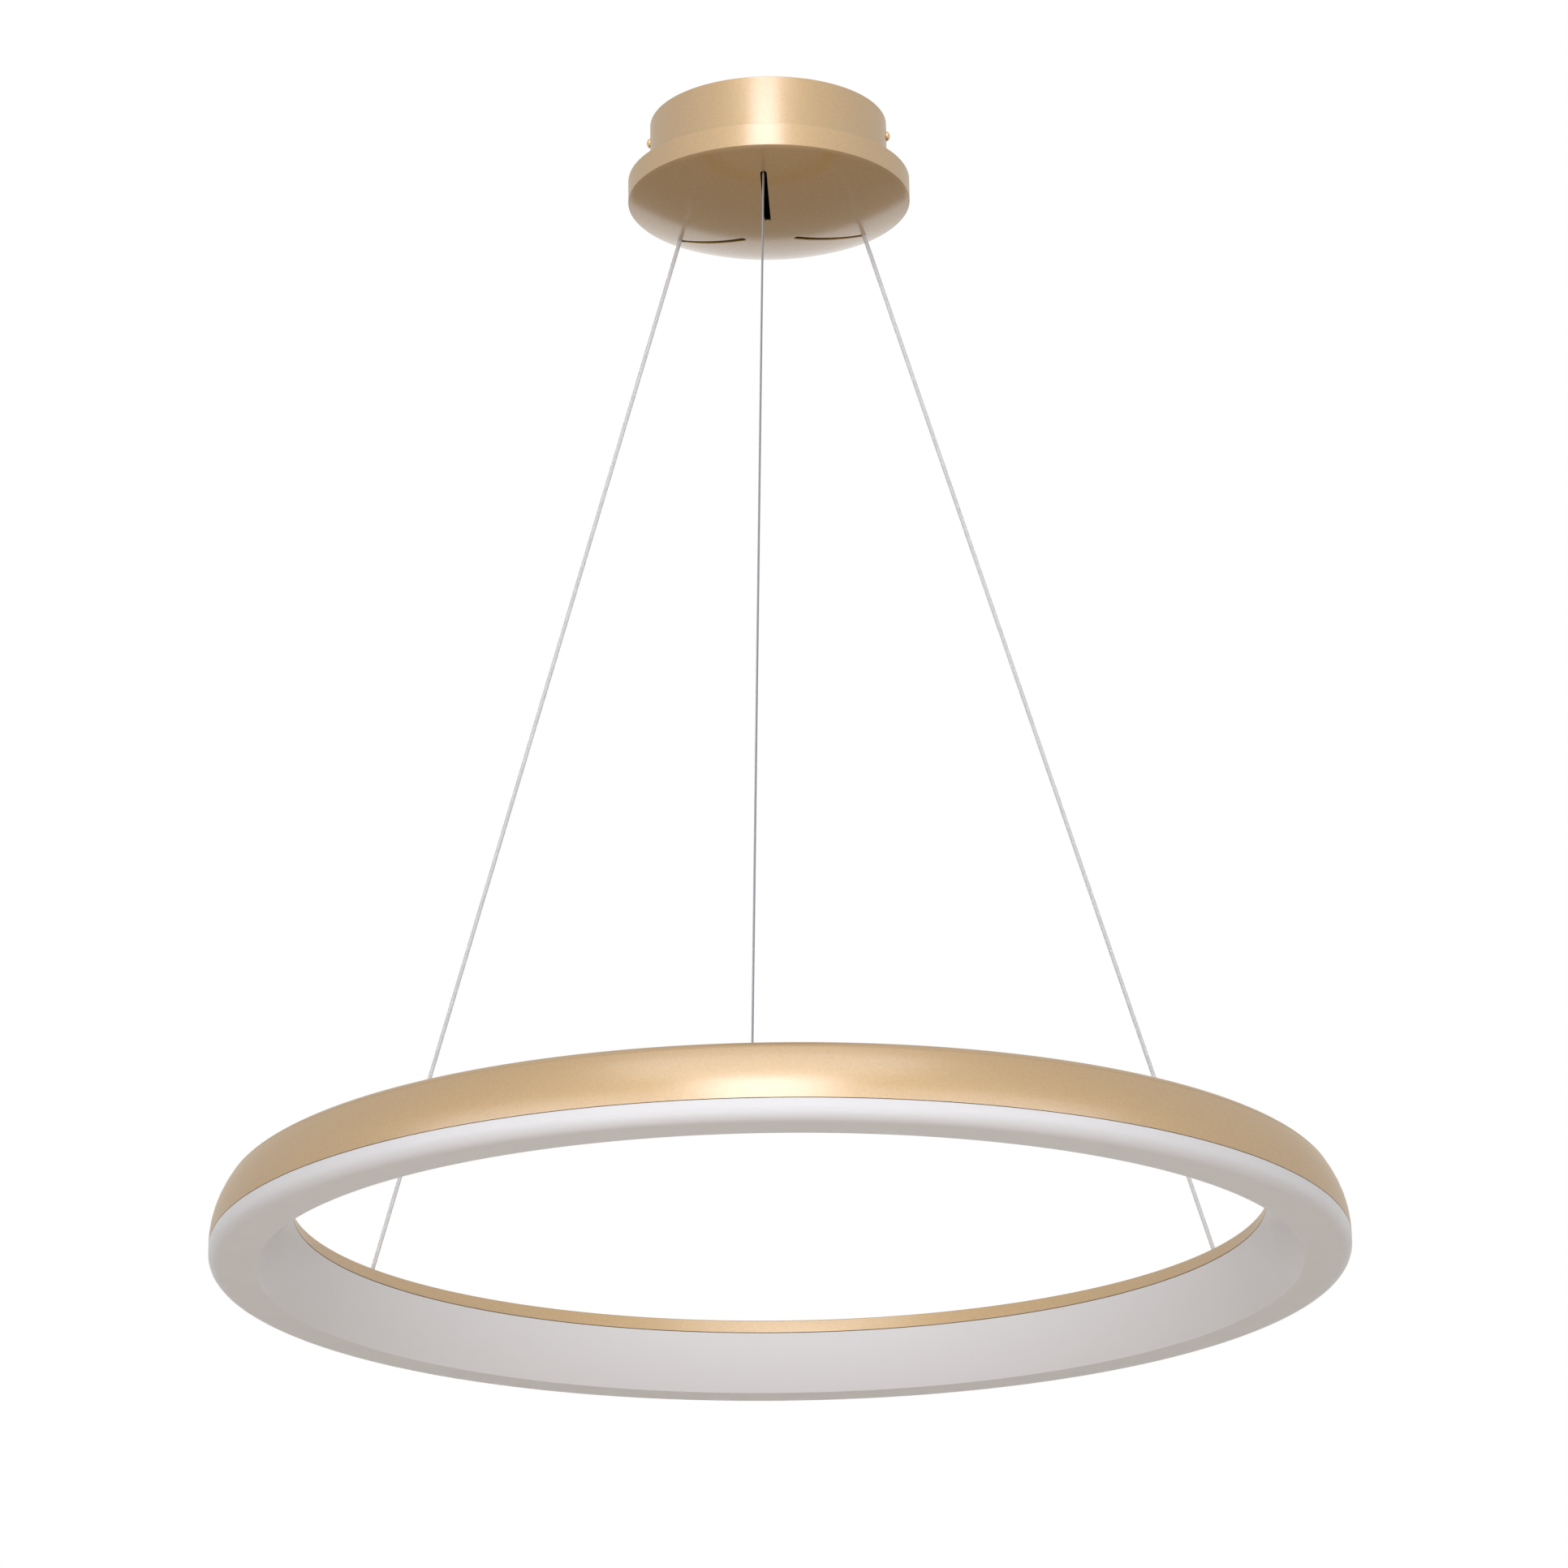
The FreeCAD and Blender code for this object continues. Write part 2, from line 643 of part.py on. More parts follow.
# ---- ring ------------------------------------------------------------------------
def shoulder(inset):
    """Wall from foot to crown: ends and middles of its long bow and its tight turn."""
    foot_z = joint_z + joint_gap / 2
    turn = math.radians(shoulder_turn)
    last = math.pi / 2 - top_slope
    width = ring_radius - shoulder_radius
    height = ring_crown - foot_z
    a = 1 - math.cos(turn)
    b = math.cos(turn) - math.cos(last)
    c = math.sin(turn)
    d = math.sin(last) - math.sin(turn)
    bow_radius = (width * d - height * b) / (a * d - b * c)
    tight_radius = (width - a * bow_radius) / b
    bow_centre = (ring_radius - bow_radius, foot_z)
    tight_centre = (bow_centre[0] + (bow_radius - tight_radius) * math.cos(turn),
                    foot_z + (bow_radius - tight_radius) * math.sin(turn))

    def on(centre, radius, angle):
        return (centre[0] + (radius - inset) * math.cos(angle),
                centre[1] + (radius - inset) * math.sin(angle))

    return (on(bow_centre, bow_radius, 0), on(bow_centre, bow_radius, turn / 2),
            on(bow_centre, bow_radius, turn), on(tight_centre, tight_radius, (turn + last) / 2),
            on(tight_centre, tight_radius, last))


def ring_channel():
    """Rolled section: curved outer shoulder, sloping top and short inner lip."""
    foot, half_bow, join, half_turn, crown = shoulder(0.0)
    inner_foot, inner_bow, inner_join, inner_turn, inner_crown = shoulder(channel_wall)
    fall = math.tan(top_slope)
    lip_angle = math.atan2(lip_lean, lip_height)
    top_start = (lip_top_radius + lip_bevel, lip_top + lip_bevel * fall)
    lip_start = (lip_top_radius - lip_bevel * math.sin(lip_angle),
                 lip_top - lip_bevel * math.cos(lip_angle))
    lip_low = lip_foot + joint_gap / 2
    channel = spun([
        foot + half_bow,
        join + half_turn,
        crown,
        top_start,
        lip_start,
        (lip_radius, lip_low),
        (lip_radius + channel_wall, lip_low),
        (lip_under_radius, lip_under),
        inner_crown,
        inner_turn,
        inner_join,
        inner_bow,
        inner_foot])
    for angle in cable_directions:
        hole = rod(anchor_shank_radius + anchor_hole_gap, -anchor_shank, anchor_shank)
        channel = channel.cut(anchored(hole, angle))
    return channel


def ring_diffuser():
    """Opal cover: rounded outer band, narrow bottom, slanted inner wall, two snap legs."""
    run = crease_radius - lip_radius
    rise = lip_foot - joint_gap / 2 - ring_bottom
    slant = math.hypot(run, rise)
    step_r = opal_wall * rise / slant
    step_z = opal_wall * run / slant
    floor = ring_bottom + opal_wall
    inner_crease = crease_radius + step_r - (floor - ring_bottom - step_z) * run / rise
    wall_top = (lip_radius, lip_foot - joint_gap / 2)
    leg_foot = lip_radius + channel_wall + gap
    leg_top = lip_foot + leg_height
    leg_lean = lip_lean / (lip_under - lip_foot) * leg_height
    inside_r = leg_foot + leg_wall
    inside_z = wall_top[1] + step_z - (inside_r - lip_radius - step_r) * rise / run
    band_top = joint_z - joint_gap / 2
    inner_foot, inner_bow = shoulder(channel_wall)[:2]
    outer_leg = inner_foot[0] - gap
    outer_lean = leg_height * (inner_foot[0] - inner_bow[0]) / (inner_bow[1] - inner_foot[1])
    outer_leg_top = band_top + leg_height
    band_inner = ring_radius - opal_wall
    corner_z = ring_bottom + opal_corner
    corner_r = ring_radius - opal_corner
    bend = math.sqrt(0.5)
    inner_round = opal_corner - opal_wall
    return spun([
        (ring_radius, band_top),
        (ring_radius, corner_z, corner_r + opal_corner * bend, corner_z - opal_corner * bend),
        (corner_r, ring_bottom),
        (crease_radius, ring_bottom),
        wall_top,
        (leg_foot, wall_top[1]),
        (leg_foot + leg_lean, leg_top),
        (leg_foot + leg_lean + leg_wall, leg_top),
        (inside_r, inside_z),
        (inner_crease, floor),
        (corner_r, floor),
        (corner_r + inner_round * bend, corner_z - inner_round * bend),
        (band_inner, corner_z),
        (outer_leg - leg_wall, corner_z + leg_taper),
        (outer_leg - leg_wall - outer_lean, outer_leg_top),
        (outer_leg - outer_lean, outer_leg_top),
        (outer_leg, band_top)])


def strip_face(inner, outer, drop, thick):
    """Section of something lying flat against the underside of the ring's top."""
    near = top_surface(inner) - channel_wall / math.cos(top_slope) - drop
    far = top_surface(outer) - channel_wall / math.cos(top_slope) - drop
    return Part.Face(outline([(inner, near), (outer, far), (outer, far - thick),
                              (inner, near - thick)]))


def led_strips():
    """Flexible LED boards, rolled into arcs under the ring's top."""
    face = strip_face(strip_inner, strip_inner + strip_width, thread_gap, strip_sheet)
    arc = revolved(face, strip_span)
    first = -strip_span / 2
    return group([turned(arc, first + index * 360 / strip_count) for index in range(strip_count)])


def led_chips():
    """One emitter after another along each strip."""
    middle = strip_inner + strip_width / 2
    face = strip_face(middle - chip_width / 2, middle + chip_width / 2,
                      strip_sheet + thread_gap, chip_height)
    chip = face.extrude(vec(0, chip_length, 0))
    chip = moved(chip, 0, -chip_length / 2, 0)
    chips = []
    pitch = strip_span / chips_per_strip
    for index in range(strip_count):
        for place in range(chips_per_strip):
            angle = index * 360 / strip_count + (place - (chips_per_strip - 1) / 2) * pitch
            chips.append(turned(chip, angle))
    return group(chips)


def anchored(shape, angle):
    """Puts a piece made on z = 0 square to the ring's top, at one cable."""
    copy = shape.copy()
    copy.rotate(vec(0, 0, 0), vec(0, 1, 0), -math.degrees(anchor_lean))
    copy.translate(vec(anchor_circle, 0, anchor_seat))
    return turned(copy, angle)


def cable_anchors():
    """Low flanged bushes through the ring's top, one for each cable."""
    anchors = []
    lift = anchor_flange_radius ** 2 / anchor_circle    # flange clears the ring's round top
    for angle in cable_directions:
        bore = cable_radius(angle) + anchor_bore_gap
        bush = spun([(bore, -anchor_shank), (anchor_shank_radius, -anchor_shank),
                     (anchor_shank_radius, lift), (anchor_flange_radius, lift),
                     (anchor_flange_radius, anchor_flange - anchor_bevel),
                     (anchor_flange_radius - anchor_bevel, anchor_flange),
                     (bore, anchor_flange)])
        anchors.append(anchored(bush, angle))
    return group(anchors)


def anchor_nuts():
    nut = hex_nut(anchor_nut_flats, anchor_nut_height, anchor_shank_radius + thread_gap)
    low = -channel_wall - anchor_nut_height - thread_gap
    return group([anchored(moved(nut, 0, 0, low), angle) for angle in cable_directions])


def cable_end(angle):
    """End of a cable inside its anchor, cut level where the hanging run meets it."""
    piece = anchored(rod(cable_radius(angle), -cable_end_length, 2 * anchor_flange), angle)
    return kept(piece, ring_bottom, cable_low_z)


def end_ferrules():
    """Crimped stops on the cable ends, below the anchors."""
    ferrules = []
    for angle in cable_directions:
        bore = cable_radius(angle) + thread_gap
        outer = conductor_radius + anchor_bore_gap + ferrule_wall
        top = -anchor_shank - thread_gap
        ferrules.append(anchored(tube(outer, bore, top - ferrule_length, top), angle))
    return group(ferrules)


save("ceiling_bracket", ceiling_bracket())
save("canopy_drum", canopy_drum())
save("carrier_plate", carrier_plate())
save("canopy_cover", canopy_cover())
save("cover_nuts", cover_nuts())
save("drum_screws", drum_screws())
save("side_screws", side_screws())
save("cable_grippers", cable_grippers())
save("gripper_nuts", gripper_nuts())
save("plunger_near", gripper_plunger(near_cable))
save("plunger_right", gripper_plunger(right_cable))
save("plunger_left", gripper_plunger(left_cable))
save("rope_tail", cable_tail(near_cable))
save("conductor_tails", group([cable_tail(right_cable), cable_tail(left_cable)]))
save("cable_near", hanging_cable(near_cable))
save("cable_right", hanging_cable(right_cable))
save("cable_left", hanging_cable(left_cable))
save("driver_case", driver_case())
save("driver_lid", driver_lid_cap())
save("driver_screws", driver_screws())
save("terminal_block", terminal_block())
save("terminal_screws", terminal_screws())
save("block_screws", block_screws())
save("earth_terminal", earth_terminal())
save("ring_channel", ring_channel())
save("ring_diffuser", ring_diffuser())
save("led_strips", led_strips())
save("led_chips", led_chips())
save("cable_anchors", cable_anchors())
save("anchor_nuts", anchor_nuts())
save("rope_end", cable_end(near_cable))
save("conductor_ends", group([cable_end(right_cable), cable_end(left_cable)]))
save("end_ferrules", end_ferrules())

print("exit", round(exit_r, 3), round(exit_z, 3), "low end", round(cable_low_r, 3),
      round(cable_low_z, 3), "slot outer", round(slot_outer, 2))
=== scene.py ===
import bmesh
import bpy
import math
from mathutils import Matrix, Vector


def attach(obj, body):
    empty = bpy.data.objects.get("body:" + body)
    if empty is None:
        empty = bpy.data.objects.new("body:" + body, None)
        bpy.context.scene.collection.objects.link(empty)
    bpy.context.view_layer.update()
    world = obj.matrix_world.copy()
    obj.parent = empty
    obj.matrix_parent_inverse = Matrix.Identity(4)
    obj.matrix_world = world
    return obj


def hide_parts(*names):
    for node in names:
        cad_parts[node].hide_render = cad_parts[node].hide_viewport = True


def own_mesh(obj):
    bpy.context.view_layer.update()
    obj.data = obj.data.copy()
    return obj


# LED ring chandelier: a gold ring with an opal light cover under it, hung by three taut
# cables from a round gold canopy.  Metres; the ceiling is z = 0 and everything hangs below.
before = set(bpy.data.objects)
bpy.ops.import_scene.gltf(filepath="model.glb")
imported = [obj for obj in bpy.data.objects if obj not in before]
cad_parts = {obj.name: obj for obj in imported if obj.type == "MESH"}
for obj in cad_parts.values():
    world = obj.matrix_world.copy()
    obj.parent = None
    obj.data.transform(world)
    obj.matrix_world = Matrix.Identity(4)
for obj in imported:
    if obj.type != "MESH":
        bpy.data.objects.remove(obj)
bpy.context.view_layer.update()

# ---- ceiling bracket and carrier plate ---------------------------------------------------
# A bent steel bar, screwed to the ceiling through its two slots, and the steel disc that
# carries the drum, the grippers and the driver.  Both are punched sheet, zinc plated, so
# they have the soft blotches of a plated bath and the fine lines of the rolled sheet.
zinc_colour = (176, 178, 180)
zinc_dark = (164, 167, 170)
zinc_light = (188, 189, 190)
zinc_patch = 0.014
rolled_line = 0.0004
rolled_stretch = (0.02, 1, 1)
rolled_depth = 0.00001
noise_range = (0.3, 0.7)


def linear(colour):
    """A colour written as 0 to 255 sRGB values, in the light values that a shader takes."""
    return [(part / 255 / 12.92 if part < 11 else ((part / 255 + 0.055) / 1.055) ** 2.4)
            for part in colour]


def surface_of(finish):
    """The shader that holds a finish's colour, sheen and coat."""
    return finish.node_tree.nodes["Principled BSDF"]


def set_inputs(node, values):
    """Sets a shader node's inputs by their names."""
    for name, value in values.items():
        node.inputs[name].default_value = value


def new_finish(name, colour, roughness, metallic=0.0):
    """A surface with one colour and sheen, ready to be given its grain."""
    finish = bpy.data.materials.new(name)
    finish.use_nodes = True
    set_inputs(surface_of(finish), {"Base Color": (*linear(colour), 1),
                                    "Roughness": roughness, "Metallic": metallic})
    return finish


def noise(finish, size, stretch=(1, 1, 1), detail=2.0):
    """Soft random patches of a size in metres, over the piece's own place."""
    tree = finish.node_tree
    coordinates = tree.nodes.new("ShaderNodeTexCoord")
    mapping = tree.nodes.new("ShaderNodeMapping")
    pattern = tree.nodes.new("ShaderNodeTexNoise")
    set_inputs(mapping, {"Scale": stretch})
    set_inputs(pattern, {"Scale": 1 / size, "Detail": detail})
    tree.links.new(coordinates.outputs["Object"], mapping.inputs["Vector"])
    tree.links.new(mapping.outputs["Vector"], pattern.inputs["Vector"])
    return pattern.outputs["Fac"]


def ranged(tree, value, source, target):
    """Carries a shader value from one range over to another, and holds it there."""
    change = tree.nodes.new("ShaderNodeMapRange")
    set_inputs(change, {"From Min": source[0], "From Max": source[1],
                        "To Min": target[0], "To Max": target[1]})
    tree.links.new(value, change.inputs["Value"])
    return change.outputs["Result"]


def vary_roughness(finish, pattern, low, high):
    """Lets the sheen wander between two values with a pattern."""
    tree = finish.node_tree
    tree.links.new(ranged(tree, pattern, noise_range, (low, high)),
                   surface_of(finish).inputs["Roughness"])


def vary_colour(finish, pattern, dark, light):
    """Lets the colour wander between two tones with a pattern."""
    tree = finish.node_tree
    tones = tree.nodes.new("ShaderNodeValToRGB")
    for stop, position, colour in zip(tones.color_ramp.elements, noise_range, (dark, light)):
        stop.position = position
        stop.color = (*linear(colour), 1)
    tree.links.new(pattern, tones.inputs["Fac"])
    tree.links.new(tones.outputs["Color"], surface_of(finish).inputs["Base Color"])


def raise_grain(finish, pattern, depth):
    """Turns a pattern into small ups and downs of the surface, depth in metres."""
    tree = finish.node_tree
    bump = tree.nodes.new("ShaderNodeBump")
    set_inputs(bump, {"Distance": depth, "Strength": 1.0})
    tree.links.new(pattern, bump.inputs["Height"])
    tree.links.new(bump.outputs["Normal"], surface_of(finish).inputs["Normal"])


def dress(node, finish):
    """Gives a piece of the frame its finish, in every material slot it has."""
    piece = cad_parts[node]
    if not piece.material_slots:
        piece.data.materials.append(finish)
    for slot in piece.material_slots:
        slot.material = finish


zinc = new_finish("zinc_plate", zinc_colour, 0.4, metallic=1.0)
vary_roughness(zinc, noise(zinc, zinc_patch), 0.32, 0.5)
vary_colour(zinc, noise(zinc, zinc_patch * 2), zinc_dark, zinc_light)
raise_grain(zinc, noise(zinc, rolled_line, stretch=rolled_stretch), rolled_depth)
dress("ceiling_bracket", zinc)
dress("carrier_plate", zinc)

# ---- drum --------------------------------------------------------------------------------
# The upright wall of the canopy: a deep-drawn steel cup without a bottom, its foot turned
# in as a flange.  It is sprayed in a champagne-gold lacquer with fine metal flake under a
# clear coat, which gives a soft wide highlight that turns pale, and a sandy glitter.
drum_radius = 0.088
drum_height = 0.045
drum_wall = 0.0012
drum_flange = 0.011
drum_edge = 0.0004
flange_edge = 0.0002
flange_bend = 0.001
drum_steps = 192
bend_step = math.radians(6)
tiny = 1e-6
gold_dark = (162, 124, 54)
gold_light = (178, 139, 68)
gold_tint = 0.5
flake_size = 0.0009
flake_depth = 0.00003
spray_size = 0.003
canopy_coat = 0.74
coat_index = 3.0
coat_roughness = 0.28


def rounded(corners):
    """Outline of (radius, height) points, each corner rounded by its third value."""
    outline = []
    count = len(corners)
    for index, (radius, height, rounding) in enumerate(corners):
        here = Vector((radius, height))
        if rounding == 0:
            outline.append(here)
            continue
        before = Vector(corners[index - 1][:2]) - here
        after = Vector(corners[(index + 1) % count][:2]) - here
        half = before.angle(after) / 2
        start = here + before.normalized() * (rounding / math.tan(half))
        end = here + after.normalized() * (rounding / math.tan(half))
        middle = here + (before.normalized() + after.normalized()).normalized() * (
            rounding / math.sin(half))
        turn = math.pi - 2 * half
        steps = max(3, math.ceil(turn / bend_step))
        for step in range(steps + 1):
            share = step / steps
            weight = (math.sin((1 - share) * turn) / math.sin(turn),
                      math.sin(share * turn) / math.sin(turn))
            outline.append(middle + (start - middle) * weight[0] + (end - middle) * weight[1])
    return outline


def add_object(name, data):
    """An object of the scene that shows a mesh, a light or a camera."""
    thing = bpy.data.objects.new(name, data)
    bpy.context.scene.collection.objects.link(thing)
    return thing


def add_mesh(name, mesh):
    """An object of the scene made from a mesh that is built up to here."""
    data = bpy.data.meshes.new(name)
    mesh.to_mesh(data)
    mesh.free()
    return add_object(name, data)


def new_piece(name, mesh, finish, body):
    """A finished piece that moves with one of the lamp's bodies."""
    piece = add_mesh(name, mesh)
    piece.data.materials.append(finish)
    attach(piece, body)
    return piece


def smooth(mesh, crease_angle=28):
    """Rounds the shading, except over edges sharper than the angle."""
    for face in mesh.faces:
        face.smooth = True
    for edge in mesh.edges:
        edge.smooth = edge.calc_face_angle(0.0) < math.radians(crease_angle)


def spun(outline, steps):
    """A round piece: its closed outline turned once about the lamp's axis."""
    mesh = bmesh.new()
    turns = [2 * math.pi * step / steps for step in range(steps)]
    rows = []
    for radius, height in outline:
        if radius < tiny:
            rows.append([mesh.verts.new((0, 0, height))] * steps)
        else:
            rows.append([mesh.verts.new((radius * math.cos(turn), radius * math.sin(turn),
                                         height)) for turn in turns])
    for row, following in zip(rows, rows[1:] + rows[:1]):
        for step in range(steps):
            corners = (row[step - 1], row[step], following[step], following[step - 1])
            corners = list(dict.fromkeys(corners))
            if len(corners) > 2:
                mesh.faces.new(corners)
    bmesh.ops.remove_doubles(mesh, verts=mesh.verts, dist=tiny)
    bmesh.ops.recalc_face_normals(mesh, faces=mesh.faces)
    smooth(mesh)
    return mesh


def gold_lacquer(name, clear_coat):
    """Champagne-gold lacquer with metal flake under a clear coat."""
    finish = new_finish(name, gold_light, 0.54, metallic=1.0)
    set_inputs(surface_of(finish), {"Specular Tint": (gold_tint, gold_tint, gold_tint, 1),
                                    "Coat Weight": clear_coat, "Coat IOR": coat_index,
                                    "Coat Roughness": coat_roughness})
    vary_colour(finish, noise(finish, flake_size), gold_dark, gold_light)
    vary_roughness(finish, noise(finish, spray_size), 0.5, 0.58)
    raise_grain(finish, noise(finish, flake_size, detail=3.0), flake_depth)
    return finish


canopy_gold = gold_lacquer("canopy_gold", canopy_coat)
drum_foot = -drum_height
drum_inner = drum_radius - drum_wall
drum = new_piece("drum_wall", spun(rounded([
    (drum_radius, 0.0, drum_edge),
    (drum_radius, drum_foot, 0.0),
    (drum_inner - drum_flange, drum_foot, 0.0),
    (drum_inner - drum_flange, drum_foot + drum_wall, flange_edge),
    (drum_inner, drum_foot + drum_wall, flange_bend),
    (drum_inner, 0.0, drum_edge)]), drum_steps), canopy_gold, "canopy")
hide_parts("canopy_drum")

# ---- side screws -------------------------------------------------------------------------
# Two round-head machine screws that hold the drum to the bracket's ears.  Their heads are
# plated gold to go with the drum, smoother and a little shinier than its lacquer.
screw_gold = new_finish("screw_gold", (216, 178, 128), 0.22, metallic=1.0)
vary_roughness(screw_gold, noise(screw_gold, 0.0015), 0.18, 0.28)
dress("side_screws", screw_gold)

# ---- cover -------------------------------------------------------------------------------
# The wide dish under the drum, pressed from one sheet: an upright rim, a fine bevel and a
# shallow dome with a slot for each cable.  It is lacquered like the drum, with a glossier
# coat on the dome, and three pillars with studs hold it.
rim_radius = 0.1045
rim_foot = -0.062
rim_bevel = 0.0009
rim_edge = 0.0003
cover_wall = 0.0015
cover_steps = 256
dome_depth = 0.025
dome_rows = 40
dome_inner_rows = 24
dome_coat = 1.0
dome_coat_index = 2.2
dome_coat_roughness = 0.17
dome_tint = 1.0
coat_change = 0.002
slot_inner = 0.021
slot_outer = 0.08106
slot_width = 0.0048
slot_edge = 0.0005
slot_edge_angle = 60
slot_margin = 0.001
face_margin = 0.0001
cutter_reach = 0.01
cutter_step = 10
pillar_circle = 0.062
pillar_radius = 0.004
pillar_top = -0.047
pillar_edge = 0.0002
pillar_steps = 32
pillar_from_slot = 60
stud_radius = 0.0018
stud_top = -0.0408
stud_edge = 0.0003
cable_directions = {"near": -90, "right": 30, "left": 150}

apex = rim_foot - dome_depth
dome_chord = rim_radius - rim_bevel
dome_rise = dome_depth - rim_bevel
dome_sphere = (dome_chord ** 2 + dome_rise ** 2) / (2 * dome_rise)
dome_centre = apex + dome_sphere


def dome_height(radius_squared, inset):
    """Height of the dome's outer face, or of a face inside it, off its middle."""
    return dome_centre - math.sqrt((dome_sphere - inset) ** 2 - radius_squared)


def dome(reach, inset, rows):
    """Points of the dome, or of a face inside it, from its middle out to a radius."""
    for row in range(rows + 1):
        radius = reach * row / rows
        yield Vector((radius, dome_height(radius ** 2, inset)))


def slot_cutter(angle):
    """A round-ended upright prism that cuts one cable slot."""
    half = slot_width / 2
    ends = [(slot_outer - half, -90), (slot_inner + half, 90)]
    mesh = bmesh.new()
    ring = [mesh.verts.new((centre + half * math.cos(math.radians(start + turn)),
                            half * math.sin(math.radians(start + turn)), apex - cutter_reach))
            for centre, start in ends for turn in range(0, 181, cutter_step)]
    face = mesh.faces.new(ring)
    risen = bmesh.ops.extrude_face_region(mesh, geom=[face])["geom"]
    for point in risen:
        if isinstance(point, bmesh.types.BMVert):
            point.co.z = rim_foot + cutter_reach
    bmesh.ops.recalc_face_normals(mesh, faces=mesh.faces)
    bmesh.ops.rotate(mesh, verts=mesh.verts, cent=(0, 0, 0),
                     matrix=Matrix.Rotation(math.radians(angle), 3, "Z"))
    return mesh


def beside_slot(point):
    """Tells whether a point is on the dome's outer face, as near the middle as the slots."""
    return (slot_inner - slot_margin < point.co.xy.length < slot_outer + slot_margin
            and point.co.z < dome_height(point.co.xy.length_squared, 0.0) + face_margin)


def cut_slots(piece, cutters):
    """Takes the cutters' shapes out of the dish and bevels the slots' outer edges."""
    for number, cutter in enumerate(cutters):
        tool = add_mesh("cutter", cutter)
        taking = piece.modifiers.new("cut" + str(number), "BOOLEAN")
        taking.object = tool
        taking.solver = "EXACT"
        bpy.context.view_layer.objects.active = piece
        bpy.ops.object.modifier_apply(modifier=taking.name)
        bpy.data.objects.remove(tool)
    mesh = bmesh.new()
    mesh.from_mesh(piece.data)
    edges = [edge for edge in mesh.edges
             if edge.calc_face_angle(0.0) > math.radians(slot_edge_angle)
             and all(beside_slot(point) for point in edge.verts)]
    bmesh.ops.bevel(mesh, geom=edges, offset=slot_edge, segments=3, affect="EDGES",
                    profile=0.5, clamp_overlap=True)
    smooth(mesh)
    mesh.to_mesh(piece.data)
    mesh.free()


def below_rim(finish, value, above, below):
    """Gives a value of the lacquer one amount on the upright walls and one on the dome."""
    tree = finish.node_tree
    coordinates = tree.nodes.new("ShaderNodeTexCoord")
    parts = tree.nodes.new("ShaderNodeSeparateXYZ")
    tree.links.new(coordinates.outputs["Object"], parts.inputs["Vector"])
    amount = ranged(tree, parts.outputs["Z"], (rim_foot - coat_change, rim_foot),
                    (below, above))
    tree.links.new(amount, surface_of(finish).inputs[value])


below_rim(canopy_gold, "Coat Weight", canopy_coat, dome_coat)
below_rim(canopy_gold, "Coat IOR", coat_index, dome_coat_index)
below_rim(canopy_gold, "Coat Roughness", coat_roughness, dome_coat_roughness)
below_rim(canopy_gold, "Specular Tint", gold_tint, dome_tint)
rim_inner = rim_radius - cover_wall
dish = list(dome(dome_chord, 0.0, dome_rows))
dish += [Vector((rim_radius, rim_foot))]
dish += rounded([(rim_radius, drum_foot, rim_edge), (rim_inner, drum_foot, rim_edge),
                 (rim_inner, rim_foot, 0.0)])[:-1]
dish += reversed(list(dome(rim_inner, cover_wall, dome_inner_rows)))
cover = new_piece("cover_dish", spun(dish, cover_steps), canopy_gold, "canopy")
cut_slots(cover, [slot_cutter(angle) for angle in cable_directions.values()])
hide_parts("canopy_cover")

for name, angle in cable_directions.items():
    pillar = spun(rounded([(0.0, apex, 0.0), (pillar_radius, apex, 0.0),
                           (pillar_radius, pillar_top, pillar_edge),
                           (stud_radius, pillar_top, 0.0), (stud_radius, stud_top, stud_edge),
                           (0.0, stud_top, 0.0)]), pillar_steps)
    turn = math.radians(angle + pillar_from_slot)
    bmesh.ops.translate(pillar, verts=pillar.verts,
                        vec=(pillar_circle * math.cos(turn), pillar_circle * math.sin(turn), 0))
    for point in pillar.verts:
        if point.co.z < apex + tiny:
            point.co.z = dome_height(point.co.xy.length_squared, cover_wall / 2)
    new_piece("cover_pillar_" + name, pillar, zinc, "canopy")

# ---- nuts, screws and grippers -----------------------------------------------------------
# The cover's and anchors' nuts and the small screws inside the canopy are bright zinc.  The
# grippers, their nuts and sprung sleeves, the ring's anchors and the crimped stops are
# nickel-plated brass; the clamp screws and the earth terminal are plain brass.
bright_zinc = new_finish("bright_zinc", (190, 192, 194), 0.25, metallic=1.0)
vary_roughness(bright_zinc, noise(bright_zinc, 0.002), 0.2, 0.34)
for node in ("cover_nuts", "drum_screws", "driver_screws", "block_screws", "anchor_nuts"):
    dress(node, bright_zinc)

nickel = new_finish("nickel", (206, 202, 196), 0.32, metallic=1.0)
vary_roughness(nickel, noise(nickel, 0.003), 0.26, 0.4)
for node in ("cable_grippers", "gripper_nuts", "plunger_near", "plunger_right",
             "plunger_left", "cable_anchors", "end_ferrules"):
    dress(node, nickel)

brass = new_finish("brass", (205, 172, 105), 0.28, metallic=1.0)
vary_roughness(brass, noise(brass, 0.002), 0.22, 0.36)
dress("terminal_screws", brass)
dress("earth_terminal", brass)

# ---- driver and terminal block -----------------------------------------------------------
# The driver is a moulded white polycarbonate case with a ribbed lid, the terminal block a
# milky polyamide moulding; both have the fine spark-eroded grain of their moulds.
mould_grain = 0.00002
driver_white = new_finish("driver_white", (232, 232, 228), 0.5)
vary_colour(driver_white, noise(driver_white, 0.02), (226, 226, 222), (236, 236, 233))
raise_grain(driver_white, noise(driver_white, 0.0005), mould_grain)
dress("driver_case", driver_white)
dress("driver_lid", driver_white)

